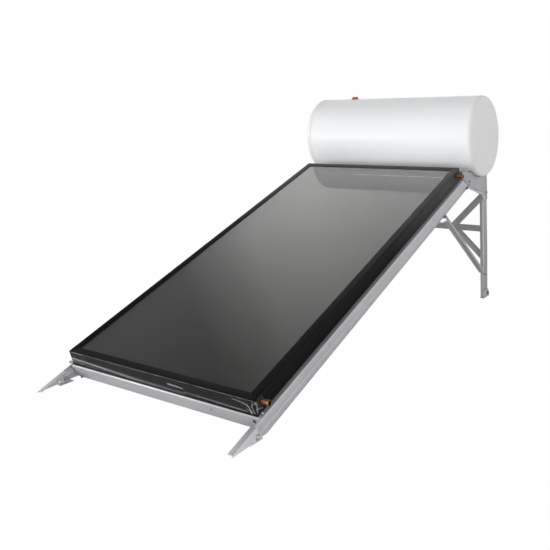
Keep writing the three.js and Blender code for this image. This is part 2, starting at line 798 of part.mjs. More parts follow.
const collector = new THREE.Group();
collector.position.set(0, COLLECTOR.frontY, COLLECTOR.frontZ);
collector.rotation.x = SLOPE;
collector.add(...casing(), ...glazing(), ...absorber(), ...grommets(), ...backing());
collector.add(...rails(), frontCrossMember());

const tank = new THREE.Group();
tank.position.set(0, TANK.y, TANK.z);
tank.add(...tankJacket(), ...tankCore(), ...handHole(), ...waterPorts(), ...reliefValve());

const stand = new THREE.Group();
stand.add(upperCrossMember(), ...rearLegs(), ...tankBrackets(), ...seatPads());
stand.add(...frontFeet(), ...rearFeet(), ...sideBraces(), rearTieBar(), ...kneeBraces());

const heater = new THREE.Group();
heater.position.y = -(FOOT.toe + TANK.y + TANK.capRadius) / 2;
heater.add(collector, tank, stand);

export default heater;
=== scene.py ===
"""Looks of a thermosiphon solar water heater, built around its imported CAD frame.

Metres, +Z up, +Y from the collector's low end to the tank, with the origin on the ground.
"""

import math

import bmesh
import bpy
from mathutils import Matrix, Vector, noise


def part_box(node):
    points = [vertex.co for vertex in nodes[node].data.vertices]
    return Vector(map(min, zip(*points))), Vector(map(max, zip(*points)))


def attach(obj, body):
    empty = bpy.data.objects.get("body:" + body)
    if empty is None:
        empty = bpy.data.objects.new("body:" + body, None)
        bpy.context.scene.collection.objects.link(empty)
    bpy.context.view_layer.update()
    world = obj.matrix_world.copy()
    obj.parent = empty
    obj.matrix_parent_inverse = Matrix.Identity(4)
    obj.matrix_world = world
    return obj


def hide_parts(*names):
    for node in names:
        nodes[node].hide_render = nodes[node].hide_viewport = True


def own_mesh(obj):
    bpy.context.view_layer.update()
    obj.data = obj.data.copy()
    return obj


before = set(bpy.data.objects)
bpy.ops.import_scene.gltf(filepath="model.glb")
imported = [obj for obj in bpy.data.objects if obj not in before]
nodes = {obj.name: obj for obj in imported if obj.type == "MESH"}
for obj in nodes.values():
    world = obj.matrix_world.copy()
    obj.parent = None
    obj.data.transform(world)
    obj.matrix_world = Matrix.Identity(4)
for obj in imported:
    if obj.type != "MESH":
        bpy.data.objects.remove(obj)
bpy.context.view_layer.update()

# ------------------------------------------------------------------ places and sizes, from the frame

ROOT = "heater"
X_AXIS = Vector((1, 0, 0))
Y_AXIS = Vector((0, 1, 0))
Z_AXIS = Vector((0, 0, 1))
SIDES = ((1, "right"), (-1, "left"))

# The collector's tilt and depth.
SLOPE = math.radians(19.5)
UP_SLOPE = Vector((0, math.cos(SLOPE), math.sin(SLOPE)))
OFF_SLOPE = Vector((0, -math.sin(SLOPE), math.cos(SLOPE)))
CASING_DEPTH = 0.071

casing_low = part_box("casing_front")[0]
CASING_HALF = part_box("casing_right")[1].x
SLOPE_ORIGIN = Vector((0, casing_low.y, casing_low.z + CASING_DEPTH * math.cos(SLOPE)))

tank_low, tank_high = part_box("tank_shell")
cap_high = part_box("tank_end_cap_right")[1]
TANK_CENTRE = Vector((0, (tank_low.y + tank_high.y) / 2, (tank_low.z + tank_high.z) / 2))
SHELL_RADIUS = (tank_high.z - tank_low.z) / 2
SHELL_HALF = tank_high.x
CAP_RADIUS = cap_high.z - TANK_CENTRE.z
TANK_HALF = cap_high.x


def on_slope(x, along, above):
    """A point in the collector's own frame: along the slope and above its top face."""
    return SLOPE_ORIGIN + X_AXIS * x + UP_SLOPE * along + OFF_SLOPE * above


# ------------------------------------------------------------------ shader helpers


class Surface:
    """A procedural Principled material. Patterns are placed in metres, and a scale counts cells or
    waves to the metre. A bump's distance is in metres."""

    def __init__(self, name):
        self.material = bpy.data.materials.new(name)
        self.material.use_nodes = True
        self.tree = self.material.node_tree
        self.shader = self.tree.nodes["Principled BSDF"]
        self.place = self.tree.nodes.new("ShaderNodeTexCoord").outputs["Object"]

    def put(self, socket, value):
        if isinstance(value, bpy.types.NodeSocket):
            self.tree.links.new(value, socket)
        else:
            socket.default_value = value

    def add(self, kind, output=0, settings=None, **inputs):
        node = self.tree.nodes.new("ShaderNode" + kind)
        for key, value in (settings or {}).items():
            setattr(node, key, value)
        for key, value in inputs.items():
            self.put(node.inputs[key.replace("_", " ")], value)
        return node.outputs[output]

    def set(self, **values):
        for key, value in values.items():
            self.put(self.shader.inputs[key.replace("_", " ")], value)

    def vector(self, operation, a, b=None, scale=None):
        node = self.tree.nodes.new("ShaderNodeVectorMath")
        node.operation = operation
        self.put(node.inputs[0], a)
        if b is not None:
            self.put(node.inputs[1], b)
        if scale is not None:
            self.put(node.inputs["Scale"], scale)
        return node.outputs["Value" if operation == "DOT_PRODUCT" else "Vector"]

    def maths(self, operation, a, b):
        node = self.tree.nodes.new("ShaderNodeMath")
        node.operation = operation
        self.put(node.inputs[0], a)
        self.put(node.inputs[1], b)
        return node.outputs[0]

    def noise(self, scale, detail=3.0, roughness=0.5, place=None):
        return self.add("TexNoise", Vector=place or self.place, Scale=scale, Detail=detail,
                        Roughness=roughness)

    def cells(self, scale):
        """A random value for each grain of a cellular pattern."""
        colour = self.add("TexVoronoi", "Color", Vector=self.place, Scale=scale)
        return self.add("SeparateColor", "Red", Color=colour)

    def fit(self, value, low, high, to_low=0.0, to_high=1.0):
        """A value stretched from one range to another, and held at its ends."""
        node = self.tree.nodes.new("ShaderNodeMapRange")
        for key, v in (("Value", value), ("From Min", low), ("From Max", high),
                       ("To Min", to_low), ("To Max", to_high)):
            self.put(node.inputs[key], v)
        return node.outputs["Result"]

    def spread(self, pattern, low=0.0, high=1.0):
        """A noise, which lies mostly between 0.3 and 0.7, spread out from low to high."""
        return self.fit(pattern, 0.3, 0.7, low, high)

    def mix(self, factor, a, b):
        node = self.tree.nodes.new("ShaderNodeMix")
        node.data_type = "RGBA"
        self.put(node.inputs["Factor"], factor)
        for key, colour in (("A", a), ("B", b)):
            socket = next(s for s in node.inputs if s.name == key and s.type == "RGBA")
            self.put(socket, colour if isinstance(colour, bpy.types.NodeSocket) else (*colour, 1))
        return next(s for s in node.outputs if s.type == "RGBA")

    def along(self, direction, squeeze):
        """The place with one direction squeezed, for patterns drawn out along it."""
        reach = self.vector("DOT_PRODUCT", self.place, direction)
        drawn = self.vector("SCALE", direction, scale=self.maths("MULTIPLY", reach, squeeze - 1))
        return self.vector("ADD", self.place, drawn)

    def bump(self, height, distance, strength, under=None):
        node = self.tree.nodes.new("ShaderNodeBump")
        self.put(node.inputs["Height"], height)
        node.inputs["Distance"].default_value = distance
        node.inputs["Strength"].default_value = strength
        if under is not None:
            self.tree.links.new(under, node.inputs["Normal"])
        return node.outputs["Normal"]


def grey(value, tint=(1, 1, 1)):
    """A grey of one value, with a slight tint."""
    return tuple(value * t for t in tint)


# ------------------------------------------------------------------ materials


def galvanised(name, direction, painted_light_tone):
    """Zinc-coated sheet: soft spangle, rolling lines along the piece and cloudy patches. The tone makes
    the whole sheet lighter or darker, as painted light and shade.
    """
    s = Surface(name)
    cloud = s.noise(7.0, 3)
    spangle = s.cells(120.0)
    rolling = s.noise(260.0, 2, place=s.along(direction, 0.03))
    stain = s.noise(28.0, 5, 0.65)
    pale = s.mix(s.spread(cloud), grey(0.58 * painted_light_tone, (1.0, 0.985, 1.035)),
                 grey(0.64 * painted_light_tone, (1.0, 0.99, 1.03)))
    grained = s.mix(s.maths("MULTIPLY", spangle, 0.16), pale, grey(0.72 * painted_light_tone, (0.99, 0.985, 1.03)))
    lined = s.mix(s.fit(rolling, 0.35, 0.7, 0, 0.12), grained, grey(0.46 * painted_light_tone))
    dull = s.mix(s.fit(stain, 0.56, 0.75, 0, 0.22), lined, grey(0.5 * painted_light_tone, (1.02, 0.99, 1.0)))
    rough = s.maths("ADD", s.fit(spangle, 0, 1, 0.36, 0.48), s.fit(stain, 0.4, 0.8, 0, 0.16))
    fine = s.bump(rolling, 0.00012, 0.5)
    grain = s.bump(spangle, 0.00006, 0.5, under=fine)
    s.set(Base_Color=dull, Roughness=rough, Metallic=0.55)
    s.set(Normal=s.bump(cloud, 0.0012, 0.25, under=grain))
    return s.material


def black_coat(name):
    """Satin black powder coat with orange peel, a little dust, and painted light that makes it paler up
    the slope.
    """
    s = Surface(name)
    peel = s.noise(850.0, 2)
    patch = s.noise(9.0, 4, 0.6)
    dust = s.noise(60.0, 6, 0.7)
    base = s.mix(s.spread(patch), grey(0.0045, (1.05, 0.98, 1.05)),
                 grey(0.007, (1.05, 0.98, 1.02)))
    dusty = s.mix(s.fit(dust, 0.55, 0.8, 0, 0.06), base, grey(0.07, (1.03, 1, 0.96)))
    # Painted light: the coat is paler towards the top of the slope.
    height = s.vector("DOT_PRODUCT", s.place, UP_SLOPE)
    paler_up_slope = s.mix(s.fit(height, 0.1, 0.9), dusty, grey(0.066, (1.02, 1, 1)))
    s.set(Base_Color=paler_up_slope, Roughness=s.spread(patch, 0.38, 0.5), Specular_IOR_Level=0.07)
    s.set(Normal=s.bump(peel, 0.00006, 0.35, under=s.bump(patch, 0.0006, 0.15)))
    return s.material


def white_coat(name):
    """White coil coating on thin sheet, with the faint waves of a rolled jacket."""
    s = Surface(name)
    wave = s.noise(3.2, 2, place=s.along(X_AXIS, 0.25))
    fine = s.noise(700.0, 2)
    grime = s.noise(20.0, 6, 0.7)
    base = s.mix(s.spread(wave), grey(0.88, (0.985, 0.995, 1.01)), grey(0.90, (0.99, 1, 1.01)))
    worn = s.mix(s.fit(grime, 0.55, 0.85, 0, 0.06), base, grey(0.6, (1.0, 0.99, 0.96)))
    s.set(Base_Color=worn, Roughness=s.spread(wave, 0.38, 0.44))
    s.set(Normal=s.bump(fine, 0.00003, 0.3, under=s.bump(wave, 0.001, 0.05)))
    return s.material


def moulded(name, low, high, roughness):
    """Moulded plastic or rubber: fine leather-like grain and slight mottling."""
    s = Surface(name)
    mottle = s.noise(14.0, 4, 0.6)
    skin = s.cells(1500.0)
    scuff = s.noise(180.0, 5, 0.7)
    base = s.mix(s.spread(mottle), low, high)
    paler = tuple(min(1, c * 1.5 + 0.03) for c in high)
    faded = s.mix(s.fit(scuff, 0.6, 0.85, 0, 0.12), base, paler)
    s.set(Base_Color=faded, Roughness=s.spread(mottle, roughness - 0.05, roughness + 0.06))
    s.set(Normal=s.bump(skin, 0.00008, 0.3))
    return s.material


def bare_metal(name, low, high, roughness, direction=X_AXIS, stain=None):
    """Machined or drawn metal with lines along one direction and patches of tarnish."""
    s = Surface(name)
    lines = s.noise(900.0, 2, place=s.along(direction, 0.02))
    patch = s.noise(45.0, 5, 0.65)
    base = s.mix(s.spread(lines), low, high)
    aged = s.mix(s.fit(patch, 0.45, 0.75, 0, 0.75 if stain else 0.2), base, stain or low)
    s.set(Base_Color=aged, Roughness=s.fit(patch, 0.3, 0.75, roughness - 0.06, roughness + 0.14),
          Metallic=1.0)
    s.set(Normal=s.bump(lines, 0.00005, 0.4))
    return s.material


def solar_glass(name):
    """Tempered solar glass with very faint rolling waves."""
    s = Surface(name)
    rolled = s.noise(5.0, 2)
    film = s.noise(2.2, 4, 0.6)
    s.set(Base_Color=s.mix(film, grey(0.90, (0.99, 1, 0.99)), grey(0.95, (0.99, 1, 0.99))),
          Roughness=s.spread(film, 0.03, 0.055), IOR=1.58, Transmission_Weight=1.0,
          Specular_Tint=(1.0, 0.975, 0.945, 1))
    s.set(Normal=s.bump(rolled, 0.0004, 0.10))
    return s.material


def selective(name):
    """The absorber's dark coating on rolled sheet, with faint lines up the slope."""
    s = Surface(name)
    patch = s.noise(4.0, 4, 0.6)
    grain = s.noise(500.0, 2, place=s.along(UP_SLOPE, 0.02))
    base = s.mix(s.spread(patch), grey(0.017, (1.0, 0.985, 0.96)), grey(0.025, (1.0, 0.98, 0.95)))
    lined = s.mix(s.fit(grain, 0.4, 0.7, 0, 0.3), base, grey(0.03, (1, 1, 1.05)))
    s.set(Base_Color=lined, Roughness=s.spread(patch, 0.5, 0.6), Metallic=0.3)
    s.set(Normal=s.bump(grain, 0.00005, 0.3))
    return s.material


def fibrous(name, low, high, scale):
    """Mineral wool or cut foam: matt, fibrous and uneven."""
    s = Surface(name)
    fibre = s.noise(scale, 8, 0.75, place=s.along(Z_AXIS, 0.3))
    patch = s.noise(12.0, 4)
    s.set(Base_Color=s.mix(s.spread(fibre), low, high), Roughness=s.spread(patch, 0.9, 1.0))
    s.set(Normal=s.bump(fibre, 0.001, 0.6))
    return s.material


def wrap_film(name):
    """Clear stretch film: almost unseen where it lies flat, milky along its folds. Along some folds the
    milky streaks are painted highlights and reflections of the casing.
    """
    s = Surface(name)
    fold_and_highlight = s.add("Attribute", "Fac", settings={"attribute_name": "fold_and_highlight"})
    crinkle = s.noise(130.0, 4, 0.6)
    s.set(Base_Color=s.mix(crinkle, grey(0.62, (1.0, 0.99, 1.0)), grey(0.8, (0.99, 1, 1))),
          Roughness=s.spread(crinkle, 0.14, 0.26), Alpha=s.fit(fold_and_highlight, 0.0, 1.0, 0.025, 0.60),
          Specular_IOR_Level=0.6)
    s.set(Normal=s.bump(crinkle, 0.0008, 0.5))
    return s.material


# Copies of one galvanised steel. Their tones are painted light and shade: the front feet and beads are
# painted lighter, the upright parts darker, the rear tie, knees and foot washers darker still, and the
# shade strips darkest.
STEEL_X = galvanised("galvanised_across", X_AXIS, 0.86)
STEEL_SLOPE = galvanised("galvanised_rail", UP_SLOPE, 0.94)
STEEL_UP = galvanised("galvanised_leg", Z_AXIS, 0.76)
STEEL_SHADE = galvanised("galvanised_shade_strip", Z_AXIS, 0.22)
STEEL_FOOT = galvanised("galvanised_foot", UP_SLOPE, 1.18)
STEEL_IN_SHADE = galvanised("galvanised_in_shade", X_AXIS, 0.68)
BLACK = black_coat("black_powder_coat")
WHITE = white_coat("white_jacket")
GLASS = solar_glass("solar_glass")
ABSORBER = selective("selective_coating")
RUBBER = moulded("black_rubber", grey(0.012), grey(0.022), 0.7)
CAP = moulded("white_cap_plastic", grey(0.86, (1, 0.995, 1.0)), grey(0.88, (1, 0.995, 1.0)), 0.45)
RED = moulded("red_plastic", (0.56, 0.075, 0.05), (0.62, 0.10, 0.065), 0.45)
DARK = moulded("dark_plastic", grey(0.035), grey(0.05), 0.5)
COPPER = bare_metal("drawn_copper", (0.23, 0.105, 0.06), (0.34, 0.165, 0.10), 0.42,
                    stain=(0.11, 0.05, 0.032))
COPPER_RIM = bare_metal("cut_copper", (0.46, 0.20, 0.07), (0.56, 0.27, 0.10), 0.36)
BRASS = bare_metal("machined_brass", (0.60, 0.43, 0.17), (0.72, 0.54, 0.25), 0.3, Z_AXIS,
                   stain=(0.36, 0.24, 0.10))
ZINC = bare_metal("zinc_plate", grey(0.5, (1, 1, 0.98)), grey(0.66, (1, 1, 0.97)), 0.34, Z_AXIS,
                  stain=grey(0.3))
# Dark metal for the stand's bolts, darker than the foot bolts' zinc.
DARK_BOLT_METAL = bare_metal("dark_bolt_metal", grey(0.10, (1, 1, 1.02)), grey(0.17, (1, 1, 1.02)), 0.5, Z_AXIS)
ALLOY = bare_metal("mill_aluminium", grey(0.56), grey(0.66), 0.42, UP_SLOPE)
MAGNESIUM = bare_metal("cast_magnesium", grey(0.5), grey(0.62), 0.55)
ENAMEL = moulded("blue_enamel", (0.02, 0.035, 0.09), (0.03, 0.05, 0.12), 0.2)
WOOL = fibrous("mineral_wool", (0.42, 0.32, 0.12), (0.62, 0.50, 0.24), 160.0)
FOAM = fibrous("rigid_foam", (0.62, 0.50, 0.24), (0.74, 0.62, 0.34), 420.0)
FILM = wrap_film("stretch_film")

MATERIALS = {
    "casing": BLACK,
    "glass_cover": GLASS,
    "glass_gasket": RUBBER,
    "absorber": ABSORBER,
    "riser": COPPER,
    "header_low": COPPER,
    "header_high": COPPER,
    "header_grommet": RUBBER,
    "back_sheet": ALLOY,
    "insulation": WOOL,
    "rail": STEEL_SLOPE,
    "front_cross": STEEL_X,
    "upper_cross": STEEL_X,
    "rear_leg": STEEL_UP,
    "tank_bracket": STEEL_UP,
    "front_foot": STEEL_FOOT,
    "rear_foot": STEEL_UP,
    "side_brace": STEEL_UP,
    "rear_tie": STEEL_IN_SHADE,
    "knee": STEEL_IN_SHADE,
    "seat_pad": RUBBER,
    "tank_shell": WHITE,
    "tank_end_cap": CAP,
    "inner_vessel": ENAMEL,
    "tank_foam": FOAM,
    "hand_hole_gasket": RUBBER,
    "hand_hole_cover": ZINC,
    "anode": MAGNESIUM,
    "port": BRASS,
    "relief_valve_body": BRASS,
    "relief_valve_stem": ZINC,
    "relief_valve_spring": ZINC,
    "relief_valve_knob": RED,
}


def material_for(node):
    """The material of the longest key that a node's name starts with."""
    start = max((key for key in MATERIALS if node.startswith(key)), key=len)
    return MATERIALS[start]


for node, piece in nodes.items():
    piece.data.materials.clear()
    piece.data.materials.append(material_for(node))

# ------------------------------------------------------------------ mesh helpers


def piece_from(name, mesh_data, material, replaces=(), body=ROOT):
    """A new piece from a bmesh, riding on a body and standing for CAD nodes."""
    mesh = bpy.data.meshes.new(name)
    mesh_data.to_mesh(mesh)
    mesh_data.free()
    piece = bpy.data.objects.new(name, mesh)
    bpy.context.scene.collection.objects.link(piece)
    mesh.materials.append(material)
    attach(piece, body)
    if replaces:
        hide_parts(*replaces)
    return piece


def smooth(mesh_data, angle=35):
    """Smooth shading, with the edges sharper than an angle kept sharp."""
    for face in mesh_data.faces:
        face.smooth = True
    for edge in mesh_data.edges:
        edge.smooth = len(edge.link_faces) == 2 and edge.calc_face_angle() < math.radians(angle)
    return mesh_data


def lathe(profile, axis, centre, segments, mesh_data=None):
    """A surface turned about an axis through a centre. The profile holds (radius, along) points."""
    mesh_data = mesh_data or bmesh.new()
    axis = axis.normalized()
    side = axis.orthogonal().normalized()
    other = axis.cross(side)
    rings = []
    for radius, along in profile:
        base = centre + axis * along
        if radius < 1e-6:
            rings.append([mesh_data.verts.new(base)])
            continue
        turn = [2 * math.pi * i / segments for i in range(segments)]
        rings.append([mesh_data.verts.new(base + (side * math.cos(a) + other * math.sin(a)) * radius)
                      for a in turn])
    made = []
    for low, high in zip(rings, rings[1:]):
        for i in range(segments):
            j = (i + 1) % segments
            corners = [low[i % len(low)], low[j % len(low)], high[j % len(high)], high[i % len(high)]]
            ring = list(dict.fromkeys(corners))
            if len(ring) > 2:
                made.append(mesh_data.faces.new(ring))
    bmesh.ops.recalc_face_normals(mesh_data, faces=made)
    return mesh_data


def round_corner(radius, along, bend, outward, steps):
    """Profile points of a quarter round that ends a turned piece's side and starts its end face."""
    points = []
    for i in range(steps + 1):
        a = math.pi / 2 * i / steps
        points.append((radius - bend + bend * math.cos(a), along - outward * bend * (1 - math.sin(a))))
    return points


def prism_on(mesh_data, outline, axis, side, centre, length, bevel=0.0):
    """A bar with a flat outline, whose points are along side and across it, drawn out along an axis."""
    across = axis.cross(side)
    place = [centre + side * u + across * v for u, v in outline]
    base = mesh_data.faces.new([mesh_data.verts.new(p) for p in place])
    grown = bmesh.ops.extrude_face_region(mesh_data, geom=[base])
    top = [g for g in grown["geom"] if isinstance(g, bmesh.types.BMVert)]
    bmesh.ops.translate(mesh_data, verts=top, vec=axis * length)
    faces = dict.fromkeys(f for v in top for f in v.link_faces)
    bmesh.ops.recalc_face_normals(mesh_data, faces=[base, *(f for f in faces if f != base)])
    if bevel:
        rim = dict.fromkeys(e for v in top for e in v.link_edges if all(w in top for w in e.verts))
        bmesh.ops.bevel(mesh_data, geom=list(rim), offset=bevel, segments=2, profile=0.5,
                        affect="EDGES")
    return mesh_data


def shape_of(node):
    """The CAD node's own shape, with its vertices joined."""
    mesh_data = bmesh.new()
    mesh_data.from_mesh(nodes[node].data)
    bmesh.ops.remove_doubles(mesh_data, verts=mesh_data.verts, dist=2e-6)
    return mesh_data


def softened(node, width=0.0005):
    """The CAD node's own shape with its sharp edges slightly rounded, so that they catch light."""
    mesh_data = shape_of(node)
    bmesh.ops.dissolve_limit(mesh_data, angle_limit=math.radians(1), verts=mesh_data.verts,
                             edges=mesh_data.edges)
    sharp = [e for e in mesh_data.edges
             if len(e.link_faces) == 2 and e.calc_face_angle() > math.radians(40)]
    bmesh.ops.bevel(mesh_data, geom=sharp, offset=width, segments=2, profile=0.5, affect="EDGES",
                    clamp_overlap=True)
    bmesh.ops.triangulate(mesh_data, faces=[f for f in mesh_data.faces if len(f.verts) > 4])
    return piece_from(node + ".sheet", smooth(mesh_data, 45), material_for(node), [node])


SHEET_METAL = ("casing", "rail", "front_cross", "upper_cross", "rear_leg", "tank_bracket",
               "front_foot", "rear_foot", "side_brace", "rear_tie", "knee")
for node in [n for n in nodes if n.startswith(SHEET_METAL)]:
    softened(node)

# ------------------------------------------------------------------ tank

TANK_SEGMENTS = 192


def tank_jacket():
    """The rolled jacket, with a lock seam low on its hidden side."""
    wall = 0.001
    rings = 12
    profile = [
        (SHELL_RADIUS - wall, -SHELL_HALF),
        (SHELL_RADIUS, -SHELL_HALF),
        *[(SHELL_RADIUS, -SHELL_HALF + 2 * SHELL_HALF * i / rings) for i in range(1, rings)],
        (SHELL_RADIUS, SHELL_HALF),
        (SHELL_RADIUS - wall, SHELL_HALF),
    ]
    jacket = lathe(profile, X_AXIS, TANK_CENTRE, TANK_SEGMENTS)
    piece_from("tank_jacket", smooth(jacket), WHITE, ["tank_shell"])

    angle = math.radians(-62)
    outward = Vector((0, math.cos(angle), math.sin(angle)))
    round_way = X_AXIS.cross(outward)
    width, height = 0.014, 0.0012
    sunk, foot = -0.0008, 0.0001
    outline = [
        (-width / 2, sunk),
        (width / 2, sunk),
        (width / 2, foot),
        (width / 2 - height, height),
        (-width / 2 + height, height),
        (-width / 2, foot),
    ]
    reach = TANK_HALF - 0.04
    start = TANK_CENTRE + outward * SHELL_RADIUS - X_AXIS * reach
    seam = prism_on(bmesh.new(), outline, X_AXIS, -round_way, start, 2 * reach)
    piece_from("tank_jacket_seam", smooth(seam, 30), WHITE)


def tank_cap(side, name):
    """An end cap: a flat disc with a round corner, and a rim that laps over the jacket."""
    bend = 0.0195
    gap = 0.0003
    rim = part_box("tank_end_cap_right")[0].x
    profile = [
        (0, side * TANK_HALF),
        (0.1, side * TANK_HALF),
        *reversed(round_corner(CAP_RADIUS, side * TANK_HALF, bend, side, 12)),
        (CAP_RADIUS, side * (rim + 0.0012)),
        (CAP_RADIUS - 0.0004, side * (rim + 0.0004)),
        (CAP_RADIUS - 0.0008, side * rim),
        (SHELL_RADIUS + gap, side * rim),
        (SHELL_RADIUS + gap, side * (TANK_HALF - 0.03)),
    ]
    cap = lathe(profile, X_AXIS, TANK_CENTRE, TANK_SEGMENTS)
    piece_from(f"tank_cap_{name}", smooth(cap), CAP, [f"tank_end_cap_{name}"])


tank_jacket()
for side, name in SIDES:
    tank_cap(side, name)

# ------------------------------------------------------------------ pipe ends, grommets and ports


def header_centre(end):
    """The middle of a header's axis, and its outer radius."""
    low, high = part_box(f"header_{end}")
    return Vector((0, (low.y + high.y) / 2, (low.z + high.z) / 2)), (high.z - low.z) / 2


def header_pipe(end):
    """A header, open at its copper end on the right. Inside the casing it is coated black."""
    centre, radius = header_centre(end)
    low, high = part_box(f"header_{end}")
    wall = 0.0012
    bore = radius - wall
    bare_from, cut_from = 0.486, high.x - 0.0035
    closed, cut = low.x, high.x
    profile = [
        (0, closed),
        (radius - 0.003, closed),
        (radius, closed + 0.003),
        (radius, bare_from),
        (radius, cut - 0.004),
        (radius, cut - 0.0005),
        (radius - 0.0003, cut),
        (bore + 0.0003, cut),
        (bore, cut - 0.0005),
        (bore, cut - 0.004),
        (bore, bare_from),
        (bore, closed + 0.004),
        (0, closed + wall),
    ]
    pipe = lathe(profile, X_AXIS, centre, 48)
    for face in pipe.faces:
        x = face.calc_center_median().x
        face.material_index = 1 if x < bare_from else 2 if x > cut_from else 0
    piece = piece_from(f"header_pipe_{end}", smooth(pipe), COPPER, [f"header_{end}"])
    piece.data.materials.append(ABSORBER)
    piece.data.materials.append(COPPER_RIM)


def header_grommet(end):
    """The rubber ring round a header where it leaves the casing."""
    centre, pipe_radius = header_centre(end)
    inner = pipe_radius + 0.0003
    low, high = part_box(f"header_grommet_{end}")
    near, far = low.x, high.x
    outer = (high.z - low.z) / 2
    flange = near + 0.008
    profile = [
        (inner, near),
        (outer - 0.004, near),
        (outer - 0.004, flange - 0.0007),
        (outer - 0.0006, flange - 0.0007),
        (outer, flange),
        (outer - 0.001, far - 0.0006),
        (inner + 0.0027, far),
        (inner + 0.0005, far),
        (inner, far - 0.0006),
        (inner, near),
    ]
    ring = lathe(profile, X_AXIS, centre, 48)
    piece_from(f"grommet_{end}", smooth(ring), RUBBER, [f"header_grommet_{end}"])


def upright_axis(node):
    """The point on the floor under a node's upright axis."""
    low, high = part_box(node)
    return Vector(((low.x + high.x) / 2, (low.y + high.y) / 2, 0))


def hexagon(corner):
    """A hexagon's outline, from the distance of its corners."""
    turn = [math.pi / 3 * i for i in range(6)]
    return [(corner * math.cos(a), corner * math.sin(a)) for a in turn]


def water_ports():
    """Threaded brass ports under the tank, each with a hexagon and a sealing rosette."""
    bore, outer, nut = 0.009, 0.0134, 0.020
    nut_height = 0.008
    pitch, depth = 0.0018, 0.0011
    nut_top = TANK_CENTRE.z - SHELL_RADIUS - 0.003
    nut_low = nut_top - nut_height
    for node in [n for n in nodes if n.startswith("port_")]:
        low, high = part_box(node)
        centre = upright_axis(node)
        profile = [(bore, high.z), (outer, high.z), (outer, nut_low)]
        z = nut_low - 0.002
        while z > low.z + 0.003:
            profile += [(outer, z), (outer - depth, z - pitch / 2)]
            z -= pitch
        profile += [(outer - depth, low.z + 0.001), (outer - depth - 0.0008, low.z), (bore, low.z)]
        profile += [(bore, high.z)]
        body = lathe(profile, Z_AXIS, centre, 40)
        prism_on(body, hexagon(nut), Z_AXIS, X_AXIS, centre + Z_AXIS * nut_low, nut_height,
                 bevel=0.0006)
        piece_from(node + ".threaded", smooth(body, 30), BRASS, [node])

        inner = outer + 0.0002
        rosette = lathe([
            (inner, nut_top + 0.0055),
            (0.030, nut_top + 0.0042),
            (0.0315, nut_top + 0.0030),
            (0.030, nut_top + 0.0012),
            (0.022, nut_top + 0.0002),
            (inner, nut_top + 0.0002),
        ], Z_AXIS, centre, 40)
        piece_from(node + ".rosette", smooth(rosette), RUBBER)


def relief_collar():
    """The valve's dark collar on the tank's crown."""
    crown = TANK_CENTRE.z + SHELL_RADIUS
    inner, outer = 0.0155, 0.024
    collar = lathe([
        (inner, crown - 0.002),
        (outer, crown - 0.002),
        (outer, crown + 0.0004),
        (0.0225, crown + 0.0016),
        (0.018, crown + 0.0026),
        (inner, crown + 0.0026),
        (inner, crown - 0.002),
    ], Z_AXIS, upright_axis("relief_valve_body"), 48)
    piece_from("relief_valve_collar", smooth(collar), RUBBER)


def relief_knob():
    """The red knob with its lobed rim, and its two dark grips."""
    centre = upright_axis("relief_valve_body")
    low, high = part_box("relief_valve_knob")
    bottom, top = low.z, high.z - 0.004
    radius, lobe, lobes, count = 0.0202, 0.0013, 12, 96
    rings = [
        (0.70, bottom, 0.0),
        (0.96, bottom, 1.0),
        (1.0, bottom + 0.0010, 1.0),
        (1.0, top - 0.0030, 1.0),
        (0.975, top - 0.0012, 0.8),
        (0.92, top, 0.4),
        (0.70, top + 0.0002, 0.0),
    ]
    knob = bmesh.new()
    loops = []
    for scale, z, lobed in rings:
        ring = []
        for i in range(count):
            a = 2 * math.pi * i / count
            r = scale * (radius - lobe * lobed * (0.5 - 0.5 * math.cos(lobes * a)))
            ring.append(knob.verts.new(centre + Vector((r * math.cos(a), r * math.sin(a), z))))
        loops.append(ring)
    for a, b in zip(loops, loops[1:]):
        for i in range(count):
            knob.faces.new([a[i], a[(i + 1) % count], b[(i + 1) % count], b[i]])
    knob.faces.new(loops[-1])
    knob.faces.new(list(reversed(loops[0])))
    bmesh.ops.recalc_face_normals(knob, faces=knob.faces)
    piece_from("relief_knob_cap", smooth(knob, 40), RED, ["relief_valve_knob"], body="relief_knob")

    grips = bmesh.new()
    outline = [(-0.0035, -0.003), (0.0035, -0.003), (0.0045, 0), (0.0035, 0.003), (-0.0035, 0.003),
               (-0.0045, 0)]
    for side in (-1, 1):
        grip_centre = centre + Vector((side * 0.0095, 0, top - 0.0002))
        prism_on(grips, outline, Z_AXIS, X_AXIS, grip_centre, high.z - top, bevel=0.0008)
    piece_from("relief_knob_grips", smooth(grips, 40), DARK, body="relief_knob")


def relief_spring():
    """The spring's coil, as a piece with a mesh of its own."""
    node = "relief_valve_spring"
    coil = piece_from("relief_spring_coil", smooth(shape_of(node), 60), ZINC, [node])
    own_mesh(coil)


for end in ("low", "high"):
    header_pipe(end)
    header_grommet(end)
water_ports()
relief_collar()
relief_knob()
relief_spring()

# ------------------------------------------------------------------ fasteners

WASHER = 0.0014


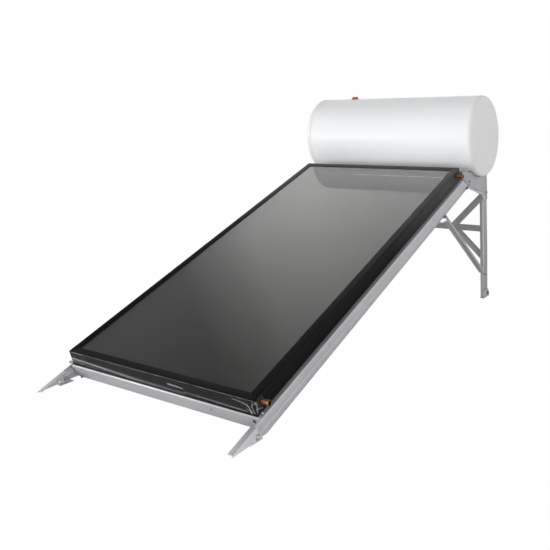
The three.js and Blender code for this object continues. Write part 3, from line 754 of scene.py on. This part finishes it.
def bolt(mesh_data, at, outward, size=0.006, grip=0.006, head="hexagon"):
    """A bolt through sheets: a washer and head outside, a washer, nut and thread end inside."""
    at, outward = Vector(at), Vector(outward).normalized()
    side = outward.orthogonal().normalized()
    middle = 0.0001
    rim = size * 1.08
    flats = hexagon(size * 1.66 / math.sqrt(3))
    bevel = size * 0.09
    washer = [(middle, 0), (rim, 0), (size * 1.15, 0.0003), (rim, WASHER), (middle, WASHER)]
    lathe(washer, outward, at, 24, mesh_data)
    if head == "hexagon":
        prism_on(mesh_data, flats, outward, side, at + outward * WASHER, size * 0.62, bevel=bevel)
    else:
        height = size * 0.6
        dome = [(size * 0.95 * math.cos(a), WASHER + height * math.sin(a))
                for a in (math.pi / 2 * i / 6 for i in range(6))]
        lathe([*dome, (0, WASHER + height)], outward, at, 24, mesh_data)
    back = at - outward * grip
    lathe([(middle, 0), (rim, 0), (rim, WASHER), (middle, WASHER)], -outward, back, 24, mesh_data)
    nut = size * 0.8
    prism_on(mesh_data, flats, -outward, side, back - outward * WASHER, nut, bevel=bevel)
    thread = [(size * 0.5, WASHER + nut), (size * 0.5, 0.004 + size), (size * 0.4, 0.0048 + size),
              (0, 0.0048 + size)]
    lathe(thread, -outward, back, 16, mesh_data)


def fasteners(name, places, material=ZINC):
    """One piece holding the bolts of a joint. Each place is a point, a direction and options."""
    mesh_data = bmesh.new()
    for at, outward, options in places:
        bolt(mesh_data, at, outward, **options)
    piece_from(name, smooth(mesh_data, 30), material)


# Where a front foot's bolt is, in y and z, and the sizes of the stand's bolts.
FOOT_BOLT = (-1.134, 0.016)
ROUND_LARGE = {"head": "round", "size": 0.008}
ROUND_SMALL = {"head": "round", "size": 0.0055}
ROUND_FOOT = {"head": "round", "size": 0.0085, "grip": 0.0045}
HEEL_BOLT = {"size": 0.0055}
CROSS_BOLT = {"grip": 0.003}


def side_places():
    """The bolts of the stand's right side, by joint. Each is a point, a direction and its options."""
    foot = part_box("front_foot_right")[1].x
    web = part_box("rail_right")[1].x
    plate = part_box("tank_bracket_right")[1].x - 0.003
    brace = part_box("side_brace_right")[1].x
    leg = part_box("rear_leg_right")[0].y
    return {
        "foot": [((foot, *FOOT_BOLT), X_AXIS, ROUND_FOOT)],
        "bracket": [((plate, 0.868, 0.718), X_AXIS, ROUND_SMALL),
                    ((plate, 0.846, 0.698), X_AXIS, ROUND_SMALL),
                    ((web, 0.817, 0.686), X_AXIS, ROUND_LARGE),
                    ((plate, 1.144, 0.629), X_AXIS, ROUND_SMALL)],
        "brace": [((web, 0.505, 0.566), X_AXIS, ROUND_LARGE),
                  ((brace, leg + 0.020, 0.142), X_AXIS, ROUND_SMALL)],
        "rear_foot": [((plate, leg + 0.060, 0.022), X_AXIS, ROUND_LARGE)],
    }


def mirrored(place):
    """The same bolt on the left side."""
    at, outward, options = place
    return Vector((-at[0], at[1], at[2])), Vector((-outward[0], outward[1], outward[2])), options


for label, places in side_places().items():
    metal = ZINC if label == "foot" else DARK_BOLT_METAL
    fasteners(f"bolts_{label}_right", places, metal)
    fasteners(f"bolts_{label}_left", [mirrored(p) for p in places], metal)


def foot_washers():
    """A broad washer under each front foot's bolt."""
    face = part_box("front_foot_right")[1].x
    hole, rim, thickness = 0.004, 0.0120, 0.0013
    profile = [(hole, 0.0002), (rim, 0.0002), (rim + 0.0005, 0.0008), (rim, thickness),
               (hole, thickness)]
    for side, name in SIDES:
        washer = lathe(profile, X_AXIS * side, Vector((side * face, *FOOT_BOLT)), 32)
        piece_from(f"foot_washer_{name}", smooth(washer, 30), STEEL_IN_SHADE)


def cross_member_dark_discs():
    """Two dark discs in the front cross member's front face: a large one for a dark bolt head, and a
    small one that is painted shade where the member has a hole.
    """
    before_casing = 0.005
    dark_discs = bmesh.new()
    for x, above, radius in ((0.484, -0.090, 0.0085), (0.279, -0.094, 0.0040)):
        profile = [(0, 0.0007), (radius * 0.8, 0.0006), (radius, -0.0003), (0, -0.0003)]
        lathe(profile, -UP_SLOPE, on_slope(x, -before_casing, above), 24, dark_discs)
    piece_from("cross_member_dark_discs", smooth(dark_discs), DARK)


def low_end_bolts():
    """Two bolts at the left rail's heel, and one under each end of the front cross member."""
    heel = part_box("rail_left")[0].x
    fasteners("bolts_heel_left", [((heel, -1.106, z), -X_AXIS, HEEL_BOLT) for z in (0.058, 0.079)])
    x, y, z = 0.4706, -1.0865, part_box("front_cross_member")[0].z
    for side, name in SIDES:
        fasteners(f"bolts_cross_{name}", [((side * x, y, z), -Z_AXIS, CROSS_BOLT)])


foot_washers()
cross_member_dark_discs()
low_end_bolts()

# ------------------------------------------------------------------ stretch film and pressed beads, with painted highlights and painted shade


def distance_to_path(point, path):
    """How far a point lies from a bent line, and how far along the line it is, from 0 to 1."""
    best, where = 1e9, 0.0
    for i, (a, b) in enumerate(zip(path, path[1:])):
        a, b = Vector(a), Vector(b)
        t = max(0.0, min(1.0, (point - a).dot(b - a) / (b - a).length_squared))
        gap = (point - a - (b - a) * t).length
        if gap < best:
            best, where = gap, (i + t) / (len(path) - 1)
    return best, where


FILM_GAP = 0.0006
FOLD_HEIGHT = 0.0011
FOLD_WANDER = 0.0012
RIPPLE_HEIGHT = 0.0003


def film_sheet(name, folds_and_highlights, across, down, steps, place):
    """A sheet of clinging film with raised folds, some of which are also painted highlights. Each fold
    is a path, its half width and the strength it starts and ends with. Across and down are ranges in
    the sheet's own plane."""
    mesh_data = bmesh.new()
    layer = mesh_data.verts.layers.float.new("fold_and_highlight")
    columns, rows = steps
    grid = []
    for i in range(columns + 1):
        u = across[0] + (across[1] - across[0]) * i / columns
        column = []
        for j in range(rows + 1):
            v = down[0] + (down[1] - down[0]) * j / rows
            fold_and_highlight = 0.0
            waver = noise.noise(Vector((u * 22, v * 60, 3.0)))
            for path, half_width, start, end in folds_and_highlights:
                gap, where = distance_to_path(Vector((u, v + FOLD_WANDER * waver)), path)
                width = half_width * (1 + 0.35 * noise.noise(Vector((u * 70, v * 40, 8.0))))
                strength = start + (end - start) * where
                fold_and_highlight = max(fold_and_highlight, strength * math.exp(-(gap / width) ** 2))
            fold_and_highlight = max(0.0, min(1.0, fold_and_highlight * (1 + 0.5 * waver)))
            proud = FILM_GAP + FOLD_HEIGHT * fold_and_highlight + RIPPLE_HEIGHT * (waver + 1)
            vert = mesh_data.verts.new(place(u, v, proud))
            vert[layer] = fold_and_highlight
            column.append(vert)
        grid.append(column)
    for left, right in zip(grid, grid[1:]):
        for j in range(rows):
            mesh_data.faces.new([left[j], right[j], right[j + 1], left[j + 1]])
    for face in mesh_data.faces:
        face.smooth = True
    film = piece_from(name, mesh_data, FILM)


# Each fold is a path in metres, its half width, and how strong it is at its start and end. On the
# front, folds also paint highlights: the line along the casing's top front edge, and the smear across
# the front face that fades to the right.
FRONT_FOLDS_AND_HIGHLIGHTS = [
    # A painted reflection across the front face, fading to the right.
    ([(-0.499, -0.036), (-0.377, -0.041), (-0.229, -0.048), (-0.058, -0.055), (0.15, -0.057)],
     0.0050, 0.95, 0.25),
    ([(-0.499, -0.050), (-0.40, -0.054), (-0.32, -0.058)], 0.0020, 0.6, 0.1),
    ([(0.077, -0.030), (0.150, -0.033)], 0.0030, 1.0, 0.9),
    ([(0.154, -0.050), (0.308, -0.052), (0.456, -0.056)], 0.0026, 0.42, 0.4),
    ([(0.40, -0.0150), (0.440, -0.0200), (0.466, -0.026), (0.474, -0.042), (0.480, -0.054)],
     0.0028, 0.35, 1.0),
    ([(0.497, -0.008), (0.486, -0.030), (0.494, -0.056)], 0.0020, 0.5, 0.9),
    ([(0.452, -0.038), (0.470, -0.050), (0.480, -0.060)], 0.0020, 0.3, 0.8),
    # A painted highlight along the casing's top front edge.
    ([(-0.499, -0.0012), (0.10, -0.0012), (0.499, -0.0012)], 0.0017, 0.95, 0.80),
]
SIDE_FOLDS = [
    ([(0.001, -0.008), (0.010, -0.030), (0.004, -0.056)], 0.0022, 0.8, 0.8),
    ([(0.004, -0.040), (0.016, -0.046), (0.034, -0.058)], 0.0022, 0.6, 0.3),
    ([(0.008, -0.012), (0.016, -0.024), (0.022, -0.036)], 0.0018, 0.5, 0.2),
]
film_sheet("film_front", FRONT_FOLDS_AND_HIGHLIGHTS, across=(-0.4985, 0.4985),
           down=(-0.0008, -0.0625), steps=(360, 40),
           place=lambda x, above, out: on_slope(x, -out, above))
film_sheet("film_corner", SIDE_FOLDS, across=(0.0008, 0.045),
           down=(-0.006, -0.066), steps=(30, 34),
           place=lambda along, above, out: on_slope(CASING_HALF + out, along, above))


def bead(name, path, x, width, height, material, side):
    """A half-round bead along a path of y and z points on a plate's outer face, lower at its ends."""
    sunk, proud, taper = 0.0004, 0.0002, 0.35
    mesh_data = bmesh.new()
    arc = [math.pi * i / 8 for i in range(9)]
    loops = []
    for i, (y, z) in enumerate(path):
        y0, z0 = path[max(i - 1, 0)]
        y1, z1 = path[min(i + 1, len(path) - 1)]
        length = math.hypot(y1 - y0, z1 - z0)
        normal = (-(z1 - z0) / length, (y1 - y0) / length)
        end = taper if i in (0, len(path) - 1) else 1.0
        loops.append([
            mesh_data.verts.new((
                side * (x - sunk + (height * math.sin(a) + proud) * end),
                y + normal[0] * math.cos(a) * width / 2 * end,
                z + normal[1] * math.cos(a) * width / 2 * end,
            ))
            for a in arc
        ])
    for a, b in zip(loops, loops[1:]):
        for j in range(len(arc)):
            k = (j + 1) % len(arc)
            mesh_data.faces.new([a[j], a[k], b[k], b[j]])
    mesh_data.faces.new(loops[0])
    mesh_data.faces.new(list(reversed(loops[-1])))
    bmesh.ops.recalc_face_normals(mesh_data, faces=mesh_data.faces)
    piece_from(name, smooth(mesh_data, 50), material)


def bracket_stiffeners():
    """A folded strip inside each tank bracket, just above the rail's end."""
    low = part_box("tank_bracket_right")[0].x + 0.0015
    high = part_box("rear_leg_right")[1].x
    rise, lip, bend = 0.073, 0.010, 0.0025
    outline = [(0, 0), (bend, 0), (bend, rise - bend), (0.001, rise), (-lip, rise),
               (-lip, rise - bend), (-0.001, rise - bend), (0, rise - 0.0035)]
    for side, name in SIDES:
        start = Vector((low if side > 0 else -high, 0.8125, 0.706))
        strip = prism_on(bmesh.new(), outline, X_AXIS, Y_AXIS, start, high - low, bevel=0.0003)
        piece_from(f"bracket_stiffener_{name}", smooth(strip, 40), STEEL_UP)


# Lines on the stand's right side, as points in y and z. Along the rail's end runs a dark strip of
# painted shade, in place of the shadow of its cut edge.
RAIL_END_SHADE_LINE = [(0.772, 0.7400), (0.800, 0.7225), (0.826, 0.7050)]
BRACKET_EDGE = [(0.846, 0.6835), (0.90, 0.6695), (0.96, 0.6545)]
BRACE_START = Vector((0.522, 0.568))
BRACE_END = Vector((1.104, 0.141))

SHADE_STRIP_HEIGHT = 0.0012


def pressed_beads():
    """Beads along the tank brackets' lower edges and the rear legs, in a lighter steel that paints
    their highlight, and narrow dark strips of painted shade beside them, along the side braces and at
    the rails' ends."""
    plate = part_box("tank_bracket_right")[1].x
    leg_low, leg_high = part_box("rear_leg_right")
    leg, leg_face = leg_low.y, leg_high.x
    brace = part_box("side_brace_right")[1].x
    turn = [(leg - 0.052 + 0.060 * math.sin(a), 0.590 + 0.045 * math.cos(a))
            for a in (math.radians(d) for d in range(18, 91, 12))]
    edge = [*BRACKET_EDGE, *turn, (leg + 0.0085, 0.587)]
    above = [(y + 0.001, z + 0.0085) for y, z in edge[1:4]]

    def down_leg(offset):
        return [(leg + offset, z) for z in (0.582, 0.30, 0.055)]

    run = (BRACE_END - BRACE_START).normalized()
    below = Vector((run.y, -run.x)) * 0.010
    brace_line = [tuple(BRACE_START + (BRACE_END - BRACE_START) * t + below)
                  for t in (0.06, 0.5, 0.93)]
    # The beads use a lighter steel as painted highlight; the thin dark strips are painted shade lines.
    lines = [
        ("bracket_bead", edge, plate, 0.0110, 0.0045, STEEL_FOOT),
        ("bracket_shade_strip", above, plate, 0.0050, SHADE_STRIP_HEIGHT, STEEL_SHADE),
        ("leg_bead", down_leg(0.0070), leg_face, 0.0110, 0.0040, STEEL_FOOT),
        ("leg_shade_strip", down_leg(0.0168), leg_face, 0.0075, SHADE_STRIP_HEIGHT, STEEL_SHADE),
        ("leg_back_shade_strip", down_leg(0.0655), leg_face, 0.0060, SHADE_STRIP_HEIGHT, STEEL_SHADE),
        ("brace_shade_strip", brace_line, brace, 0.0060, SHADE_STRIP_HEIGHT, STEEL_SHADE),
        ("rail_end_shade_strip", RAIL_END_SHADE_LINE, plate, 0.0060, SHADE_STRIP_HEIGHT, STEEL_SHADE),
    ]
    for side, name in SIDES:
        for label, path, face, width, height, material in lines:
            bead(f"{label}_{name}", path, face, width, height, material, side)


bracket_stiffeners()
pressed_beads()

# ------------------------------------------------------------------ studio

FLOOR_SEEN = 0.99
FLOOR_TONE = 0.92
FLOOR_SIZE = 400

# How bright the sky is on either side of a plane that rises behind the tank's left end: from -1, in
# front and to the left, to 1, behind and to the right. A ramp's colours stop at 1, so it holds half
# of each value. The sky dims overhead, between two heights of a direction of length 1.
SKY_STOPS = [(-0.75, 1.55), (-0.55, 1.15), (-0.38, 0.54), (-0.20, 0.28), (-0.07, 0.32), (0.0, 0.70),
             (0.035, 1.02), (0.12, 1.30), (0.35, 1.28), (0.60, 0.98), (1.0, 0.94)]
SKY_STRENGTH = 1.9
SKY_SHARE = 0.5
OVERHEAD = {"From Min": 0.62, "From Max": 0.85, "To Min": 1.0, "To Max": 0.15}


def cleared_tree(owner):
    """The empty node tree of a material or a world."""
    owner.use_nodes = True
    owner.node_tree.nodes.clear()
    return owner.node_tree


def camera_sees(tree, lit, seen, output):
    """One shader for the camera, and another for the light that falls on the object."""
    blend = tree.nodes.new("ShaderNodeMixShader")
    camera_ray = tree.nodes.new("ShaderNodeLightPath").outputs["Is Camera Ray"]
    tree.links.new(camera_ray, blend.inputs["Fac"])
    tree.links.new(lit.outputs[0], blend.inputs[1])
    tree.links.new(seen.outputs[0], blend.inputs[2])
    tree.links.new(blend.outputs[0], tree.nodes.new(output).inputs["Surface"])


def studio_floor():
    """A wide pale matt floor. It throws light up at the stand, and is seen as plain white."""
    mesh_data = bmesh.new()
    bmesh.ops.create_grid(mesh_data, x_segments=1, y_segments=1, size=FLOOR_SIZE)
    mesh = bpy.data.meshes.new("floor")
    mesh_data.to_mesh(mesh)
    mesh_data.free()
    floor = bpy.data.objects.new("floor", mesh)
    bpy.context.scene.collection.objects.link(floor)
    material = bpy.data.materials.new("floor_white")
    tree = cleared_tree(material)
    matt = tree.nodes.new("ShaderNodeBsdfDiffuse")
    matt.inputs["Color"].default_value = (*grey(FLOOR_TONE), 1)
    seen = tree.nodes.new("ShaderNodeEmission")
    seen.inputs["Color"].default_value = (*grey(FLOOR_SEEN), 1)
    camera_sees(tree, matt, seen, "ShaderNodeOutputMaterial")
    mesh.materials.append(material)


def toward(azimuth, elevation):
    """The direction of a place in the sky, in degrees from +X towards +Y and above the floor."""
    a, e = math.radians(azimuth), math.radians(elevation)
    return Vector((math.cos(a) * math.cos(e), math.sin(a) * math.cos(e), math.sin(e)))


def sky_gradient(tree, place):
    """The sky's brightness on either side of a plane through two of its places. The glass reflects
    the edge between the dim side and the bright one."""
    across = toward(143.6, 38).cross(toward(146.4, 47)).normalized()
    if across.dot(toward(120, 40)) < 0:
        across = -across
    dot = tree.nodes.new("ShaderNodeVectorMath")
    dot.operation = "DOT_PRODUCT"
    dot.inputs[1].default_value = across
    tree.links.new(place, dot.inputs[0])
    scaled = tree.nodes.new("ShaderNodeMapRange")
    scaled.inputs["From Min"].default_value = -1
    tree.links.new(dot.outputs["Value"], scaled.inputs["Value"])
    ramp = tree.nodes.new("ShaderNodeValToRGB")
    elements = ramp.color_ramp.elements
    while len(elements) < len(SKY_STOPS):
        elements.new(0.5)
    for element, (t, value) in zip(elements, SKY_STOPS):
        element.position = (t + 1) / 2
        element.color = (*grey(value * SKY_SHARE), 1)
    tree.links.new(scaled.outputs["Result"], ramp.inputs["Fac"])
    return ramp.outputs["Color"]


def studio_sky():
    """A sky that the camera sees as plain white. For light and reflections it is bright behind the
    tank and at the left, dim in front, and dimmer overhead."""
    world = bpy.data.worlds.new("studio")
    bpy.context.scene.world = world
    tree = cleared_tree(world)
    place = tree.nodes.new("ShaderNodeTexCoord").outputs["Generated"]
    height = tree.nodes.new("ShaderNodeSeparateXYZ")
    tree.links.new(place, height.inputs[0])
    overhead = tree.nodes.new("ShaderNodeMapRange")
    for key, value in OVERHEAD.items():
        overhead.inputs[key].default_value = value
    tree.links.new(height.outputs["Z"], overhead.inputs["Value"])
    dimmed = tree.nodes.new("ShaderNodeVectorMath")
    dimmed.operation = "SCALE"
    tree.links.new(sky_gradient(tree, place), dimmed.inputs[0])
    tree.links.new(overhead.outputs["Result"], dimmed.inputs["Scale"])
    glow = tree.nodes.new("ShaderNodeBackground")
    glow.inputs["Strength"].default_value = SKY_STRENGTH
    tree.links.new(dimmed.outputs["Vector"], glow.inputs["Color"])
    backdrop = tree.nodes.new("ShaderNodeBackground")
    backdrop.inputs["Color"].default_value = (1, 1, 1, 1)
    camera_sees(tree, glow, backdrop, "ShaderNodeOutputWorld")


def softbox(name, at, target, size, power):
    """A round soft light at a place, turned to a target. Its size is in metres, its power in watts."""
    light = bpy.data.lights.new(name, "AREA")
    light.shape = "DISK"
    light.size = size
    light.energy = power
    lamp = bpy.data.objects.new(name, light)
    bpy.context.scene.collection.objects.link(lamp)
    lamp.location = at
    lamp.rotation_euler = (Vector(target) - Vector(at)).to_track_quat("-Z", "Y").to_euler()
    return lamp


def glass_bounce():
    """The light that the glass throws up at the tank's low side."""
    x, width, length = 0.2, 0.62, 0.16
    lamp = softbox("bounce", on_slope(x, 1.86, 0.005), on_slope(x, 1.98, 0.14), width, 0.22)
    lamp.data.shape = "ELLIPSE"
    lamp.data.size_y = length
    lamp.visible_camera = False
    lamp.visible_glossy = False


# The camera's place in metres, its angles in degrees, its lens in millimetres.
CAMERA_AT = (2.0555, -3.0858, 1.1540)
CAMERA_AZIMUTH = -54.5047
CAMERA_RISE = 2.6910
CAMERA_ROLL = -1.2683
CAMERA_LENS = 47.68
CAMERA_SHIFT = (-0.0174, -0.2401)


def photo_camera():
    """The camera, nearly level, in front of the collector's low end and to its right."""
    camera = bpy.data.cameras.new("camera")
    camera.lens = CAMERA_LENS
    camera.sensor_width = 36
    camera.shift_x, camera.shift_y = CAMERA_SHIFT
    camera.clip_end = 2000
    holder = bpy.data.objects.new("camera", camera)
    bpy.context.scene.collection.objects.link(holder)
    turn = (Matrix.Rotation(math.radians(90 + CAMERA_AZIMUTH), 4, "Z")
            @ Matrix.Rotation(math.radians(90 - CAMERA_RISE), 4, "X")
            @ Matrix.Rotation(math.radians(CAMERA_ROLL), 4, "Z"))
    holder.matrix_world = Matrix.Translation(CAMERA_AT) @ turn
    bpy.context.scene.camera = holder


studio_floor()
studio_sky()
softbox("key", (-4.2, -5.2, 0.9), (-0.2, 0.6, 0.8), size=1.8, power=135)
softbox("fill", (2.9, -2.4, 0.6), (0.5, -1.0, 0.2), size=1.2, power=18)
glass_bounce()
photo_camera()
bpy.context.scene.view_settings.view_transform = "Standard"
